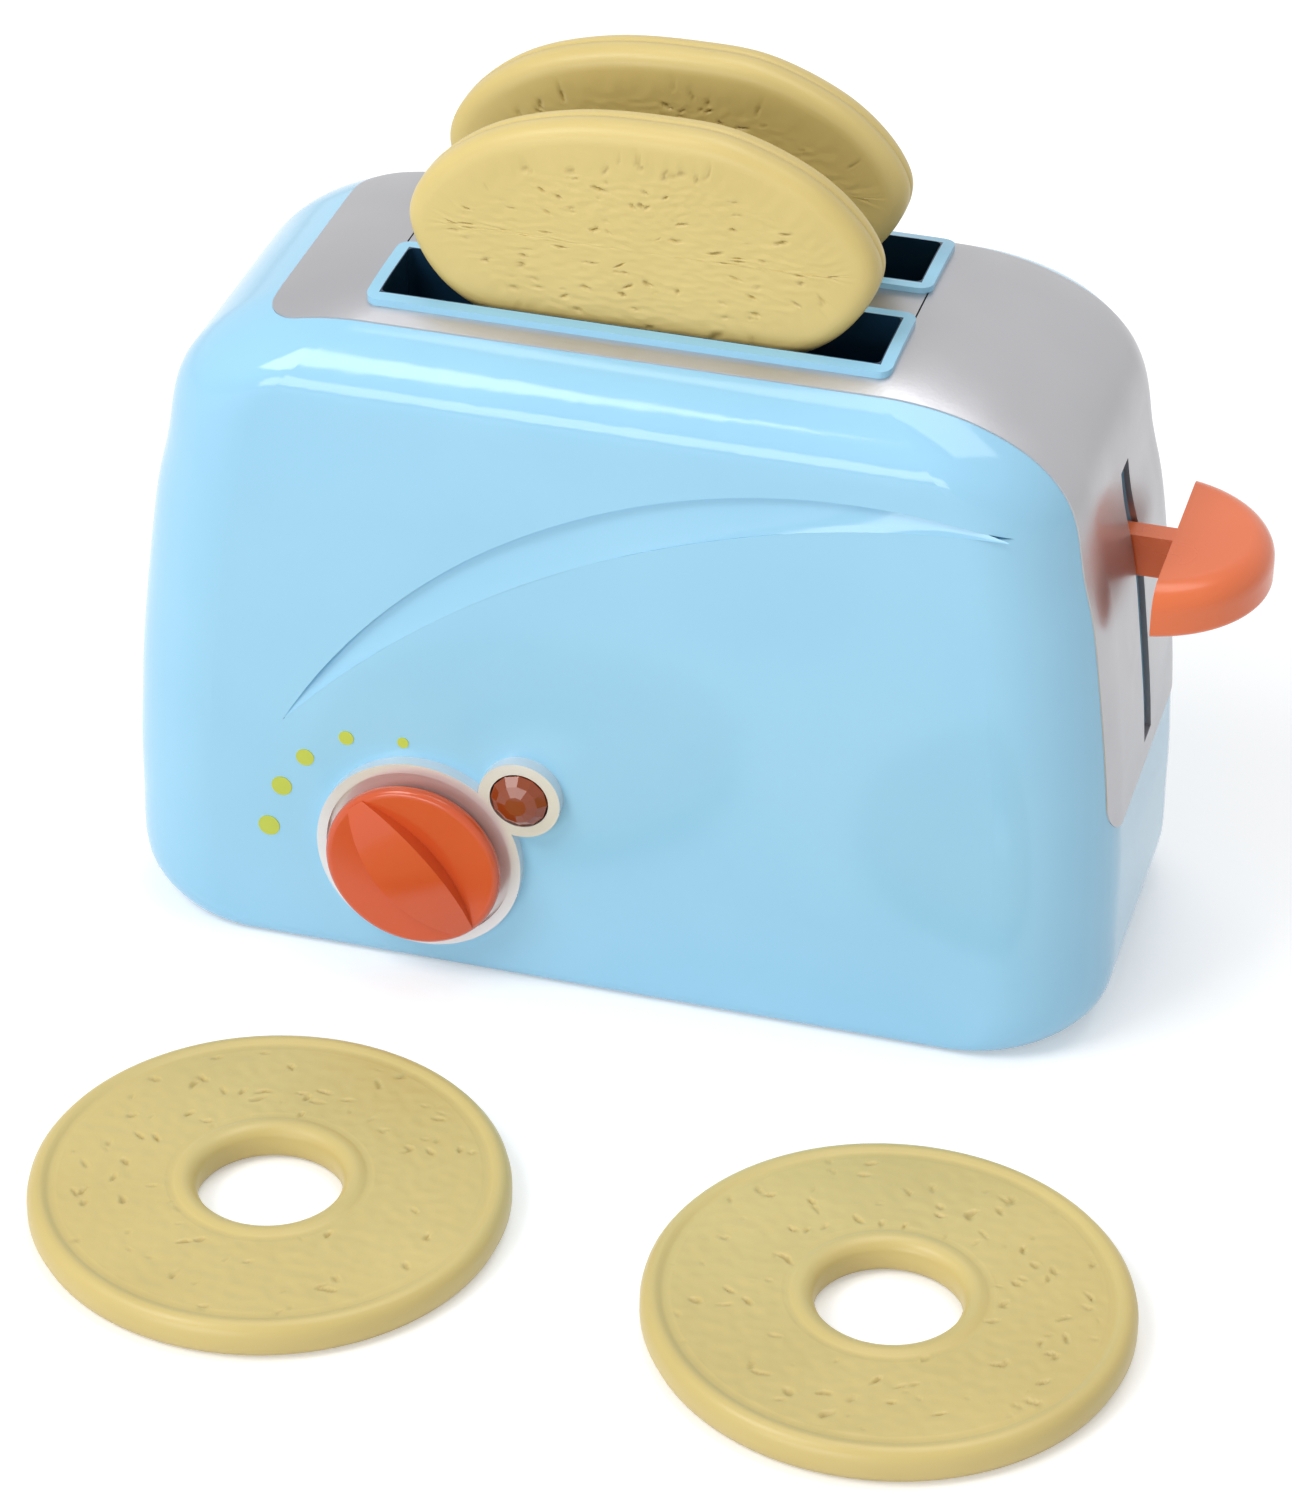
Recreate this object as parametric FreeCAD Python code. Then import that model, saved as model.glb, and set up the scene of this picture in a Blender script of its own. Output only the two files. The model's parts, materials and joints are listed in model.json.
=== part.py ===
import FreeCAD, Part
import math
import os

os.makedirs("parts", exist_ok=True)

# Toy toaster. The origin is the middle of the base on the floor.
# +X points to the lever end, -Y to the front face with the dial, +Z up. Millimetres.

# Casing outline: end and face reach from the middle, at the floor and at the roof line
casing_height = 130.0
end_reach_floor = 93.8
end_reach_roof = 79.4
end_bulge = 5.4
face_reach_floor = 43.2
face_reach_roof = 40.4
roof_end_run = 33.0
roof_end_rise = 22.0
roof_face_run = 23.0
roof_face_rise = 14.0
foot_end_run = 12.0
foot_end_rise = 11.0
foot_face_run = 3.4
foot_face_rise = 3.4
upright_corner_radius = 20.0
casing_wall = 2.4

# Silver trim laid in a recess over the roof and down the lever end
trim_half_width = 30.0
trim_left_reach = 66.0
trim_tongue_height = 44.0
trim_corner_radius = 7.0
trim_thickness = 0.9
trim_proud = 0.25

# Swoosh on the front face: a shallow crescent between two arcs with the same ends
swoosh_left_x = -60.0
swoosh_left_z = 49.0
swoosh_middle_x = -16.0
swoosh_middle_z = 84.5
swoosh_right_x = 74.0
swoosh_right_z = 109.0
swoosh_breadth = 8.5
swoosh_depth = 1.5

# Bread slots and their wells
slot_length = 91.3
slot_width = 16.8
slot_pitch = 31.0
rim_width = 2.4
rim_proud = 1.1
rim_corner_radius = 2.5
well_wall = 1.6
well_corner_radius = 2.0
well_roof_clearance = 0.3

# Lever and the lift carriage
lift_travel = 34.0
lever_height = 87.6
lever_stem_height = 8.2
lever_stem_thickness = 4.6
lever_slot_width = 6.2
lever_slot_top = 104.2
lever_slot_end_gap = 0.8
lever_gap_to_casing = 7.2
lever_knob_width = 44.8
lever_knob_reach = 17.9
lever_knob_height = 9.6
lever_knob_edge = 4.6
lever_knob_under_edge = 1.5
lever_pocket_depth = 7.0
carriage_left = 52.0
carriage_depth = 16.0
carriage_bar_height = 12.0
carriage_bar_drop = 1.5
carriage_column_half_width = 9.0
carriage_bar_half_width = 20.0
nose_reach = 3.5
nose_height = 3.0
nose_half_width = 3.0

# Trays that carry the slices
tray_half_length = 34.0
tray_width = 7.0
tray_thickness = 2.4
tray_arm_thickness = 3.0
tray_arm_height = 6.0
tray_floor_clearance = 2.5
tray_screw_radius = 1.2
tray_screw_length = 9.0
tray_arm_clearance = 0.6

# Guide rod, its posts and the return spring
rod_radius = 2.5
rod_x = 57.0
rod_clearance = 0.05
rod_post_radius = 6.0
rod_post_height = 14.0
rod_socket_depth = 8.0
rod_boss_drop = 5.0
spring_wire_radius = 0.5
spring_coil_radius = 4.4
spring_turns = 12

# Base plate held in the floor opening by its inner flange
base_half_length = 62.0
base_half_width = 27.0
base_corner_radius = 6.0
base_clearance = 0.3
base_flange_overlap = 6.0
base_flange_thickness = 2.0
base_screw_x = 50.0
base_screw_inset = 3.4
base_boss_radius = 3.4
base_boss_height = 5.4

# Screws: one size everywhere
screw_shank_radius = 1.25
screw_head_radius = 2.6
screw_head_height = 1.2
screw_hole_clearance = 0.06
screw_head_clearance = 0.3
shell_boss_radius = 4.2
shell_screw_seat = 12.0
shell_screw_length = 24.0
screw_slot_width = 0.7
screw_end_gap = 2.0
bracket_boss_skin = 1.0

# Dial: bezel plate, knob, shaft and pinion
dial_x = -33.2
dial_z = 25.8
bezel_radius = 19.8
bezel_thickness = 2.2
bezel_dish_radius = 17.9
bezel_dish_depth = 1.0
bezel_hole_clearance = 1.0
lens_x = -13.7
lens_z = 41.6
bezel_small_radius = 7.8
bezel_web_half_width = 4.5
lens_radius = 5.5
lens_proud = 2.2
lens_flange_radius = 7.2
lens_flange_thickness = 1.5
lens_clearance = 0.1
knob_radius = 16.8
knob_back_radius = 14.6
knob_gap = 0.4
knob_disc_height = 5.3
knob_rim_height = 1.9
knob_edge_radius = 1.4
ridge_length = 38.0
ridge_width = 12.0
ridge_height = 3.2
ridge_crown_radius = 44.0
ridge_end_inset = 0.7
ridge_angle = 131.0
shaft_radius = 3.0
shaft_clearance = 0.05
shaft_knob_depth = 6.0
pinion_teeth = 12
gear_module = 1.0
gear_addendum = 0.9
gear_dedendum = 1.2
tooth_root_share = 0.36
tooth_tip_share = 0.16
gear_width = 6.0
gear_backlash = 0.45
shaft_pinion_gap = 1.5

# Bracket, trip rack and detent spring behind the dial
bracket_thickness = 2.4
bracket_half_width = 24.0
bracket_rise = 9.0
bracket_gap = 1.2
bracket_screw_offset = 19.0
clip_radius = 5.0
clip_thickness = 0.8
rack_height = 7.0
rack_teeth_each_side = 4
rack_left_reach = 28.0
rack_arm_gap = 5.0
rack_running_gap = 0.3
rack_lug_width = 6.0
rack_lug_thickness = 2.4
rack_lip_thickness = 0.8
rack_lip_drop = 2.0
rack_guide_left = 8.0
rack_guide_right = 22.0
rack_arm_width = 6.0
detent_thickness = 0.6
detent_length = 17.0
detent_width = 5.0

# Latch hook beside the carriage
hook_pivot_x = 42.0
hook_pivot_z = 13.0
hook_width = 5.0
hook_arm_width = 3.4
hook_tip_height = 3.2
hook_tip_gap = 0.7
hook_nose_gap = 1.3
hook_hub_radius = 3.6
hook_hub_gap = 0.4
hook_side_gap = 0.5
latch_pin_radius = 1.5
latch_pin_clearance = 0.05
latch_ear_thickness = 3.0
latch_spring_radius = 2.7
latch_spring_wire = 0.35
latch_spring_turns = 4
latch_spring_length = 3.08
latch_spring_room = 3.9

# Play bread: two slices in the slots and two bagels on the floor
slice_width = 86.5
slice_front_shift = 2.0
slice_rear_shift = -0.4
slice_height = 46.5
slice_thickness = 10.0
slice_front_gap = 1.6
slice_stand = 37.0
slice_edge_radius = 2.6
bagel_radius = 42.5
bagel_hole_radius = 12.8
bagel_thickness = 7.0
bagel_edge_radius = 2.6
bagel_front_y = -120.4
bagel_left_x = -36.2
bagel_right_x = 75.4

# Sizes that follow from the ones above
inner_floor = casing_wall
roof_z = casing_height
slot_y = slot_pitch / 2
rim_length = slot_length + 2 * rim_width
rim_depth = slot_width + 2 * rim_width
well_length = slot_length + 2 * well_wall
well_depth = slot_width + 2 * well_wall
far_reach = 4 * end_reach_floor
lever_slot_bottom = lever_height - lever_stem_height / 2 - lift_travel - lever_slot_end_gap

tray_top = roof_z + rim_proud + slice_stand - slice_height
well_floor_top = tray_top - lift_travel - tray_arm_height - tray_floor_clearance
carriage_right = carriage_left + carriage_depth
carriage_bar_top = tray_top - carriage_bar_drop
carriage_bar_bottom = carriage_bar_top - carriage_bar_height
carriage_bottom = lever_height - lever_stem_height / 2 - casing_wall
flange_top = inner_floor + base_flange_thickness

face_slope = (face_reach_floor - face_reach_roof) / casing_height
bezel_front_y = -(face_reach_floor - face_slope * dial_z + bezel_thickness)
knob_back_y = bezel_front_y + bezel_dish_depth - knob_gap
knob_front_y = knob_back_y - knob_disc_height
inner_face_y = -(face_reach_floor - face_slope * dial_z - casing_wall)
pinion_radius = gear_module * pinion_teeth / 2
pinion_front_y = inner_face_y + shaft_pinion_gap
pinion_back_y = pinion_front_y + gear_width
bracket_front_y = pinion_back_y + bracket_gap
bracket_back_y = bracket_front_y + bracket_thickness
rack_pitch_z = dial_z - pinion_radius
rack_bottom_z = rack_pitch_z - rack_height


def point(x, y, z):
    return FreeCAD.Vector(x, y, z)


def box(x0, x1, y0, y1, z0, z1):
    return Part.makeBox(x1 - x0, y1 - y0, z1 - z0, point(x0, y0, z0))


def rod_x_axis(radius, x0, x1, y, z):
    return Part.makeCylinder(radius, x1 - x0, point(x0, y, z), point(1, 0, 0))


def rod_y_axis(radius, x, z, y0, y1):
    return Part.makeCylinder(radius, y1 - y0, point(x, y0, z), point(0, 1, 0))


def rod_z_axis(radius, x, y, z0, z1):
    return Part.makeCylinder(radius, z1 - z0, point(x, y, z0), point(0, 0, 1))


def fused(shapes):
    first = shapes[0]
    if len(shapes) == 1:
        return first
    return first.multiFuse(shapes[1:]).removeSplitter()


def rounded_rectangle_wire(half_x, half_y, radius, z):
    # four sides and four quarter arcs, counterclockwise from the lower right corner
    diagonal = radius * math.sqrt(0.5)
    edges = []
    for quarter in range(4):
        turn = math.radians(90 * quarter)
        along = half_y if quarter % 2 == 0 else half_x
        out = half_x if quarter % 2 == 0 else half_y

        def place(u, v):
            x = u * math.cos(turn) - v * math.sin(turn)
            y = u * math.sin(turn) + v * math.cos(turn)
            return point(x, y, z)

        side_start = place(out, -(along - radius))
        side_end = place(out, along - radius)
        arc_middle = place(out - radius + diagonal, along - radius + diagonal)
        arc_end = place(out - radius, along)
        edges.append(Part.LineSegment(side_start, side_end).toShape())
        edges.append(Part.Arc(side_end, arc_middle, arc_end).toShape())
    return Part.Wire(edges)


def rounded_block(half_x, half_y, radius, z0, z1):
    face = Part.Face(rounded_rectangle_wire(half_x, half_y, radius, z0))
    return face.extrude(point(0, 0, z1 - z0))


def reach(z, at_floor, at_roof, bulge, roof_run, roof_rise, foot_run, foot_rise, inset):
    # half size of the casing at one height: a bowed side with elliptical top and foot
    share = z / casing_height
    size = at_floor + (at_roof - at_floor) * share + 4 * bulge * share * (1 - share) - inset
    above = (z - (casing_height - inset - roof_rise)) / roof_rise
    below = (inset + foot_rise - z) / foot_rise
    if above > 0:
        size -= roof_run * (1 - math.sqrt(max(0.0, 1 - above * above)))
    if below > 0:
        size -= foot_run * (1 - math.sqrt(max(0.0, 1 - below * below)))
    return size


def end_reach(z, inset):
    return reach(z, end_reach_floor, end_reach_roof, end_bulge,
                 roof_end_run, roof_end_rise, foot_end_run, foot_end_rise, inset)


def face_reach(z, inset):
    return reach(z, face_reach_floor, face_reach_roof, 0.0,
                 roof_face_run, roof_face_rise, foot_face_run, foot_face_rise, inset)


def casing_solid(inset):
    # the casing's outer form, moved inwards by the inset, lofted through level sections
    foot_steps = 5
    side_steps = 6
    roof_steps = 9
    bottom = inset
    top = casing_height - inset
    heights = []
    for step in range(foot_steps):
        heights.append(bottom + foot_end_rise * (1 - math.cos(math.radians(90 * step / foot_steps))))
    side_start = bottom + foot_end_rise
    side_end = top - roof_end_rise
    for step in range(side_steps):
        heights.append(side_start + (side_end - side_start) * step / side_steps)
    for step in range(roof_steps + 1):
        heights.append(side_end + roof_end_rise * math.sin(math.radians(90 * step / roof_steps)))
    wires = []
    for z in heights:
        half_x = end_reach(z, inset)
        half_y = face_reach(z, inset)
        radius = (upright_corner_radius - inset) * half_y / (face_reach_floor - inset)
        wires.append(rounded_rectangle_wire(half_x, half_y, radius, z))
    return Part.makeLoft(wires, True, False)


outer_form = casing_solid(0.0)
inner_form = casing_solid(casing_wall)
recess_form = casing_solid(trim_thickness)
trim_form = casing_solid(-trim_proud)
front_half = box(-far_reach, far_reach, -far_reach, 0, -far_reach, far_reach)
rear_half = box(-far_reach, far_reach, 0, far_reach, -far_reach, far_reach)


def trim_region():
    # a band along the roof that bends over the lever end and stops above the foot
    left = -trim_left_reach
    middle_x = (left + far_reach) / 2
    plan = rounded_block((far_reach - left) / 2, trim_half_width, trim_corner_radius, 0, far_reach)
    plan.translate(point(middle_x, 0, 0))
    half_rise = far_reach / 2
    drop = rounded_block(half_rise, trim_half_width, trim_corner_radius, -far_reach, far_reach)
    drop.rotate(point(0, 0, 0), point(0, 1, 0), 90)
    drop.translate(point(0, 0, trim_tongue_height + half_rise))
    return plan.common(drop)


def slot_opening(clearance):
    # the one opening in the roof that takes both wells and the bridge between them
    half_x = well_length / 2 + clearance
    half_y = slot_y + well_depth / 2 + clearance
    return rounded_block(half_x, half_y, well_corner_radius, well_floor_top, far_reach)


def lever_slot_cut():
    half = lever_slot_width / 2
    return box(carriage_right, far_reach, -half, half, lever_slot_bottom, lever_slot_top)


def swoosh_cut():
    start = point(swoosh_left_x, 0, swoosh_left_z)
    end = point(swoosh_right_x, 0, swoosh_right_z)
    low = point(swoosh_middle_x, 0, swoosh_middle_z)
    chord = end - start
    chord.normalize()
    high = low + point(-chord.z, 0, chord.x) * swoosh_breadth
    lower_arc = Part.Arc(start, low, end).toShape()
    upper_arc = Part.Arc(end, high, start).toShape()
    crescent = Part.Face(Part.Wire([lower_arc, upper_arc])).extrude(point(0, -far_reach, 0))
    return crescent.cut(casing_solid(swoosh_depth))


trim_band = trim_region()
roof_opening = slot_opening(well_roof_clearance)
lever_opening = lever_slot_cut()

# Shell screws: middle of each boss, as X and Z
corner_inset = shell_boss_radius + casing_wall
boss_low_z = foot_end_rise + corner_inset
boss_high_z = casing_height - roof_end_rise - corner_inset
boss_low_x = end_reach(boss_low_z, casing_wall) - corner_inset
boss_high_x = end_reach(boss_high_z, casing_wall) - corner_inset
shell_boss_places = [
    (-boss_low_x, boss_low_z),
    (boss_low_x, boss_low_z),
    (-boss_high_x, boss_high_z),
    (boss_high_x, boss_high_z),
]

# Bracket screws stand left and right of the dial
bracket_screw_places = [
    (dial_x - bracket_screw_offset, dial_z),
    (dial_x + bracket_screw_offset, dial_z),
]

# Base screws stand in the flange, in front of and behind the opening
base_screw_y = base_half_width + base_screw_inset
base_screw_places = [
    (-base_screw_x, -base_screw_y),
    (base_screw_x, -base_screw_y),
    (-base_screw_x, base_screw_y),
    (base_screw_x, base_screw_y),
]


def shell(is_front):
    half = front_half if is_front else rear_half
    wall = outer_form.cut(inner_form)
    recess = outer_form.cut(recess_form).common(trim_band)
    wall = wall.cut(recess)
    if is_front:
        wall = wall.cut(swoosh_cut())
    adds = [wall]
    for x, z in shell_boss_places:
        boss = rod_y_axis(shell_boss_radius, x, z, -face_reach_floor, face_reach_floor)
        adds.append(boss.common(recess_form))
    top_boss = rod_z_axis(rod_post_radius, rod_x, 0, roof_z - casing_wall - rod_boss_drop, roof_z)
    adds.append(top_boss.common(recess_form))
    if is_front:
        for x, z in bracket_screw_places:
            boss = rod_y_axis(shell_boss_radius, x, z, -face_reach_floor, bracket_front_y)
            adds.append(boss.common(recess_form))
    solid = fused(adds).common(half)
    solid = solid.cut(roof_opening).cut(lever_opening)
    opening = rounded_block(base_half_length + base_clearance, base_half_width + base_clearance,
                            base_corner_radius, -casing_wall, inner_floor)
    cuts = [opening]
    shank = screw_shank_radius + screw_hole_clearance
    head = screw_head_radius + screw_head_clearance
    for x, z in shell_boss_places:
        cuts.append(rod_y_axis(shank, x, z, shell_screw_seat - shell_screw_length, shell_screw_seat))
        cuts.append(rod_y_axis(head, x, z, shell_screw_seat, 2 * face_reach_floor))
    for x, y in base_screw_places:
        cuts.append(rod_z_axis(shank, x, y, -casing_wall, flange_top))
        cuts.append(rod_z_axis(head, x, y, -casing_wall, screw_head_height))
    rod_top = roof_z - casing_wall - trim_thickness
    cuts.append(rod_z_axis(rod_radius + rod_clearance, rod_x, 0, 0, rod_top))
    if is_front:
        front = -2 * face_reach_floor
        cuts.append(rod_y_axis(shaft_radius + shaft_clearance, dial_x, dial_z, front, 0))
        cuts.append(rod_y_axis(lens_radius + lens_clearance, lens_x, lens_z, front, 0))
        for x, z in bracket_screw_places:
            cuts.append(rod_y_axis(shank, x, z, inner_face_y + bracket_boss_skin, 0))
    for cut in cuts:
        solid = solid.cut(cut)
    return solid


def trim_plate(is_front):
    half = front_half if is_front else rear_half
    plate = trim_form.cut(recess_form).common(trim_band).common(half)
    return plate.cut(roof_opening).cut(lever_opening)


def slot_bridge():
    half_y = slot_y - well_depth / 2
    strip = box(-well_length / 2, well_length / 2, -half_y, half_y, well_floor_top, far_reach)
    return trim_form.cut(inner_form).common(strip)


def at_slot(shape, side):
    shape.translate(point(0, side * slot_y, 0))
    return shape


def bread_well(side):
    floor_bottom = well_floor_top - well_wall
    crown = casing_solid(-(trim_proud + rim_proud))
    tube = rounded_block(well_length / 2, well_depth / 2, well_corner_radius, floor_bottom, far_reach)
    rim = rounded_block(rim_length / 2, rim_depth / 2, rim_corner_radius, inner_floor, far_reach)
    tube = at_slot(tube, side).common(crown)
    rim = at_slot(rim, side).common(crown).cut(trim_form)
    hollow = rounded_block(slot_length / 2, slot_width / 2, well_corner_radius - well_wall / 2,
                           well_floor_top, far_reach)
    arm_half = tray_arm_thickness / 2 + tray_arm_clearance
    arm_slot = box(slot_length / 2 - well_wall, rim_length, -arm_half, arm_half,
                   well_floor_top, tray_top + tray_floor_clearance)
    return fused([tube, rim]).cut(at_slot(hollow, side)).cut(at_slot(arm_slot, side))


def base_plate():
    plug = rounded_block(base_half_length, base_half_width, base_corner_radius, 0, inner_floor)
    flange = rounded_block(base_half_length + base_flange_overlap, base_half_width + base_flange_overlap,
                           base_corner_radius, inner_floor, flange_top)
    adds = [plug, flange]
    for x, y in base_screw_places:
        adds.append(rod_z_axis(base_boss_radius, x, y, inner_floor, flange_top + base_boss_height))
    adds.append(rod_z_axis(rod_post_radius, rod_x, 0, inner_floor, rod_post_height))
    ear_inner = hook_width / 2 + hook_side_gap
    ear_outer = ear_inner + latch_ear_thickness
    ear_left = hook_pivot_x - hook_hub_radius
    ear_right = hook_pivot_x + hook_hub_radius
    ear_top = hook_pivot_z + hook_hub_radius
    adds.append(box(ear_left, ear_right, -ear_outer, -ear_inner, inner_floor, ear_top))
    adds.append(box(ear_left, ear_right, ear_inner + latch_spring_room, ear_outer + latch_spring_room,
                    inner_floor, ear_top))
    guide_floor = rack_bottom_z - rack_running_gap
    guide_back = pinion_back_y + rack_running_gap
    guide_front = pinion_front_y - rack_running_gap
    adds.append(box(rack_guide_left, rack_guide_right, guide_front, guide_back + casing_wall,
                    flange_top, guide_floor))
    adds.append(box(rack_guide_left, rack_guide_right, guide_back, guide_back + casing_wall,
                    flange_top, rack_pitch_z))
    solid = fused(adds)
    shank = screw_shank_radius + screw_hole_clearance
    for x, y in base_screw_places:
        solid = solid.cut(rod_z_axis(shank, x, y, inner_floor, flange_top + base_boss_height))
    rod_bottom = rod_post_height - rod_socket_depth
    solid = solid.cut(rod_z_axis(rod_radius + rod_clearance, rod_x, 0, rod_bottom, far_reach))
    pin_hole = rod_y_axis(latch_pin_radius, hook_pivot_x, hook_pivot_z, -far_reach, far_reach)
    return solid.cut(pin_hole)


def dial_bezel():
    back = -(face_reach_roof - casing_wall)
    big = rod_y_axis(bezel_radius, dial_x, dial_z, bezel_front_y, back)
    small = rod_y_axis(bezel_small_radius, lens_x, lens_z, bezel_front_y, back)
    span = math.hypot(lens_x - dial_x, lens_z - dial_z)
    web = box(0, span, 0, back - bezel_front_y, -bezel_web_half_width, bezel_web_half_width)
    tilt = math.degrees(math.atan2(lens_z - dial_z, lens_x - dial_x))
    web.rotate(point(0, 0, 0), point(0, 1, 0), -tilt)
    web.translate(point(dial_x, bezel_front_y, dial_z))
    plate = fused([big, small, web]).cut(outer_form)
    dish = rod_y_axis(bezel_dish_radius, dial_x, dial_z, bezel_front_y, bezel_front_y + bezel_dish_depth)
    hole = rod_y_axis(shaft_radius + bezel_hole_clearance, dial_x, dial_z, bezel_front_y, 0)
    lens_hole = rod_y_axis(lens_radius + lens_clearance, lens_x, lens_z, bezel_front_y, 0)
    return plate.cut(dish).cut(hole).cut(lens_hole)


def indicator_lens():
    # a clear jewel: a stem through the shell, a flange behind it and a domed front
    front = bezel_front_y - lens_proud
    flange_back = inner_face_y + lens_flange_thickness + casing_wall
    stem = rod_y_axis(lens_radius, lens_x, lens_z, front, flange_back)
    dome_radius = (lens_radius ** 2 + lens_proud ** 2) / (2 * lens_proud)
    dome = Part.makeSphere(dome_radius, point(lens_x, front + dome_radius, lens_z))
    deep = box(lens_x - dome_radius, lens_x + dome_radius, front + lens_proud, flange_back,
               lens_z - dome_radius, lens_z + dome_radius)
    stem = stem.common(fused([dome, deep]))
    flange = rod_y_axis(lens_flange_radius, lens_x, lens_z, inner_face_y - casing_wall, flange_back)
    return fused([stem, flange.common(inner_form)])


def timer_knob():
    # a disc that widens towards the front, with a crowned grip ridge across its face
    rim_back_y = knob_front_y + knob_rim_height
    rim = rod_y_axis(knob_radius, dial_x, dial_z, knob_front_y, rim_back_y)
    front_edges = [e for e in rim.Edges if e.BoundBox.YMax < knob_front_y + knob_edge_radius / 2]
    rim = rim.makeFillet(knob_edge_radius, front_edges)
    skirt = Part.makeCone(knob_radius, knob_back_radius, knob_back_y - rim_back_y,
                          point(dial_x, rim_back_y, dial_z), point(0, 1, 0))
    half = ridge_width / 2
    big = ((ridge_length / 2) ** 2 - half ** 2) / (2 * half) + half
    ridge_front = knob_front_y - ridge_height
    ridge_back = knob_front_y + ridge_height / 2
    offset = big - half
    ridge = rod_y_axis(big, offset, 0, ridge_front, ridge_back)
    ridge = ridge.common(rod_y_axis(big, -offset, 0, ridge_front, ridge_back))
    crown = rod_x_axis(ridge_crown_radius, -half, half, ridge_front + ridge_crown_radius, 0)
    ridge = ridge.common(crown)
    ridge = ridge.common(rod_y_axis(knob_radius - ridge_end_inset, 0, 0, ridge_front, ridge_back))
    ridge.rotate(point(0, 0, 0), point(0, 1, 0), 90 - ridge_angle)
    ridge.translate(point(dial_x, 0, dial_z))
    knob = fused([rim, skirt, ridge])
    bore = rod_y_axis(shaft_radius, dial_x, dial_z, knob_back_y - shaft_knob_depth, knob_back_y)
    return knob.cut(bore)


def knob_shaft():
    back = bracket_back_y + bracket_gap + clip_thickness
    return rod_y_axis(shaft_radius, dial_x, dial_z, knob_back_y - shaft_knob_depth, back)


def shaft_pinion():
    # straight-sided teeth, thinned by the backlash, with one tooth space pointing down
    root = pinion_radius - gear_dedendum * gear_module
    tip = pinion_radius + gear_addendum * gear_module
    step = 360.0 / pinion_teeth
    corners = []
    for tooth in range(pinion_teeth):
        middle = -90 + step * (tooth + 0.5)
        root_half = math.degrees((tooth_root_share * math.pi * gear_module - gear_backlash / 2) / root)
        tip_half = math.degrees((tooth_tip_share * math.pi * gear_module - gear_backlash / 4) / tip)
        for radius, angle in ((root, -root_half), (tip, -tip_half), (tip, tip_half), (root, root_half)):
            turn = math.radians(middle + angle)
            corners.append(point(dial_x + radius * math.cos(turn), pinion_front_y,
                                 dial_z + radius * math.sin(turn)))
    outline = Part.makePolygon(corners + [corners[0]])
    wheel = Part.Face(outline).extrude(point(0, gear_width, 0))
    return wheel.cut(rod_y_axis(shaft_radius, dial_x, dial_z, pinion_front_y, pinion_back_y))


def shaft_clip():
    front = bracket_back_y + bracket_gap / 4
    ring = rod_y_axis(clip_radius, dial_x, dial_z, front, front + clip_thickness)
    return ring.cut(rod_y_axis(shaft_radius, dial_x, dial_z, front, front + clip_thickness))


def rack_lug(x):
    # a hook under the rack: a floor, and a lip in front of it
    floor_top = rack_bottom_z - rack_running_gap
    lip_back = pinion_front_y - rack_running_gap
    lip_front = lip_back - rack_lip_thickness
    half = rack_lug_width / 2
    floor = box(x - half, x + half, lip_front, bracket_back_y, floor_top - rack_lug_thickness, floor_top)
    lip = box(x - half, x + half, lip_front, lip_back, floor_top - rack_lug_thickness,
              rack_pitch_z - rack_lip_drop)
    return fused([floor, lip])


def dial_bracket():
    plate = box(dial_x - bracket_half_width, dial_x + bracket_half_width, bracket_front_y, bracket_back_y,
                rack_bottom_z - rack_running_gap - rack_lug_thickness, dial_z + bracket_rise)
    lug_offset = bracket_half_width - rack_lug_width / 2
    adds = [plate, rack_lug(dial_x - lug_offset), rack_lug(dial_x + lug_offset)]
    solid = fused(adds)
    solid = solid.cut(rod_y_axis(shaft_radius + shaft_clearance, dial_x, dial_z, bracket_front_y, 0))
    shank = screw_shank_radius + screw_hole_clearance
    for x, z in bracket_screw_places:
        solid = solid.cut(rod_y_axis(shank, x, z, bracket_front_y, bracket_back_y))
    return solid


def trip_rack():
    left = dial_x - rack_left_reach
    right = rack_guide_right + rack_arm_gap + rack_arm_width
    root_z = rack_pitch_z - gear_dedendum * gear_module
    bar = box(left, right, pinion_front_y, pinion_back_y, rack_bottom_z, root_z)
    adds = [bar]
    pitch = math.pi * gear_module
    tip_z = rack_pitch_z + gear_addendum * gear_module
    root_half = tooth_root_share * pitch - gear_backlash / 2
    tip_half = tooth_tip_share * pitch - gear_backlash / 4
    for tooth in range(-rack_teeth_each_side, rack_teeth_each_side + 1):
        x = dial_x + tooth * pitch
        corners = [point(x - root_half, pinion_front_y, root_z), point(x - tip_half, pinion_front_y, tip_z),
                   point(x + tip_half, pinion_front_y, tip_z), point(x + root_half, pinion_front_y, root_z)]
        profile = Part.Face(Part.makePolygon(corners + [corners[0]]))
        adds.append(profile.extrude(point(0, gear_width, 0)))
    arm_left = right - rack_arm_width
    half = hook_width / 2
    adds.append(box(arm_left, right, pinion_front_y, half, rack_bottom_z, root_z))
    return fused(adds)


def detent_spring():
    # a leaf screwed to the bracket's top edge, its tip just above the pinion's teeth
    tip_z = dial_z + pinion_radius + gear_addendum * gear_module + rack_running_gap
    y_middle = (pinion_front_y + pinion_back_y) / 2
    half = detent_width / 2
    leaf = box(dial_x - detent_length / 2, dial_x + detent_length / 2, y_middle - half, bracket_front_y,
               tip_z, tip_z + detent_thickness)
    tab_top = dial_z + bracket_rise
    tab = box(dial_x - detent_length / 2, dial_x + detent_length / 2, bracket_front_y - detent_thickness,
              bracket_front_y, tip_z, tab_top)
    return fused([leaf, tab])


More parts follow.
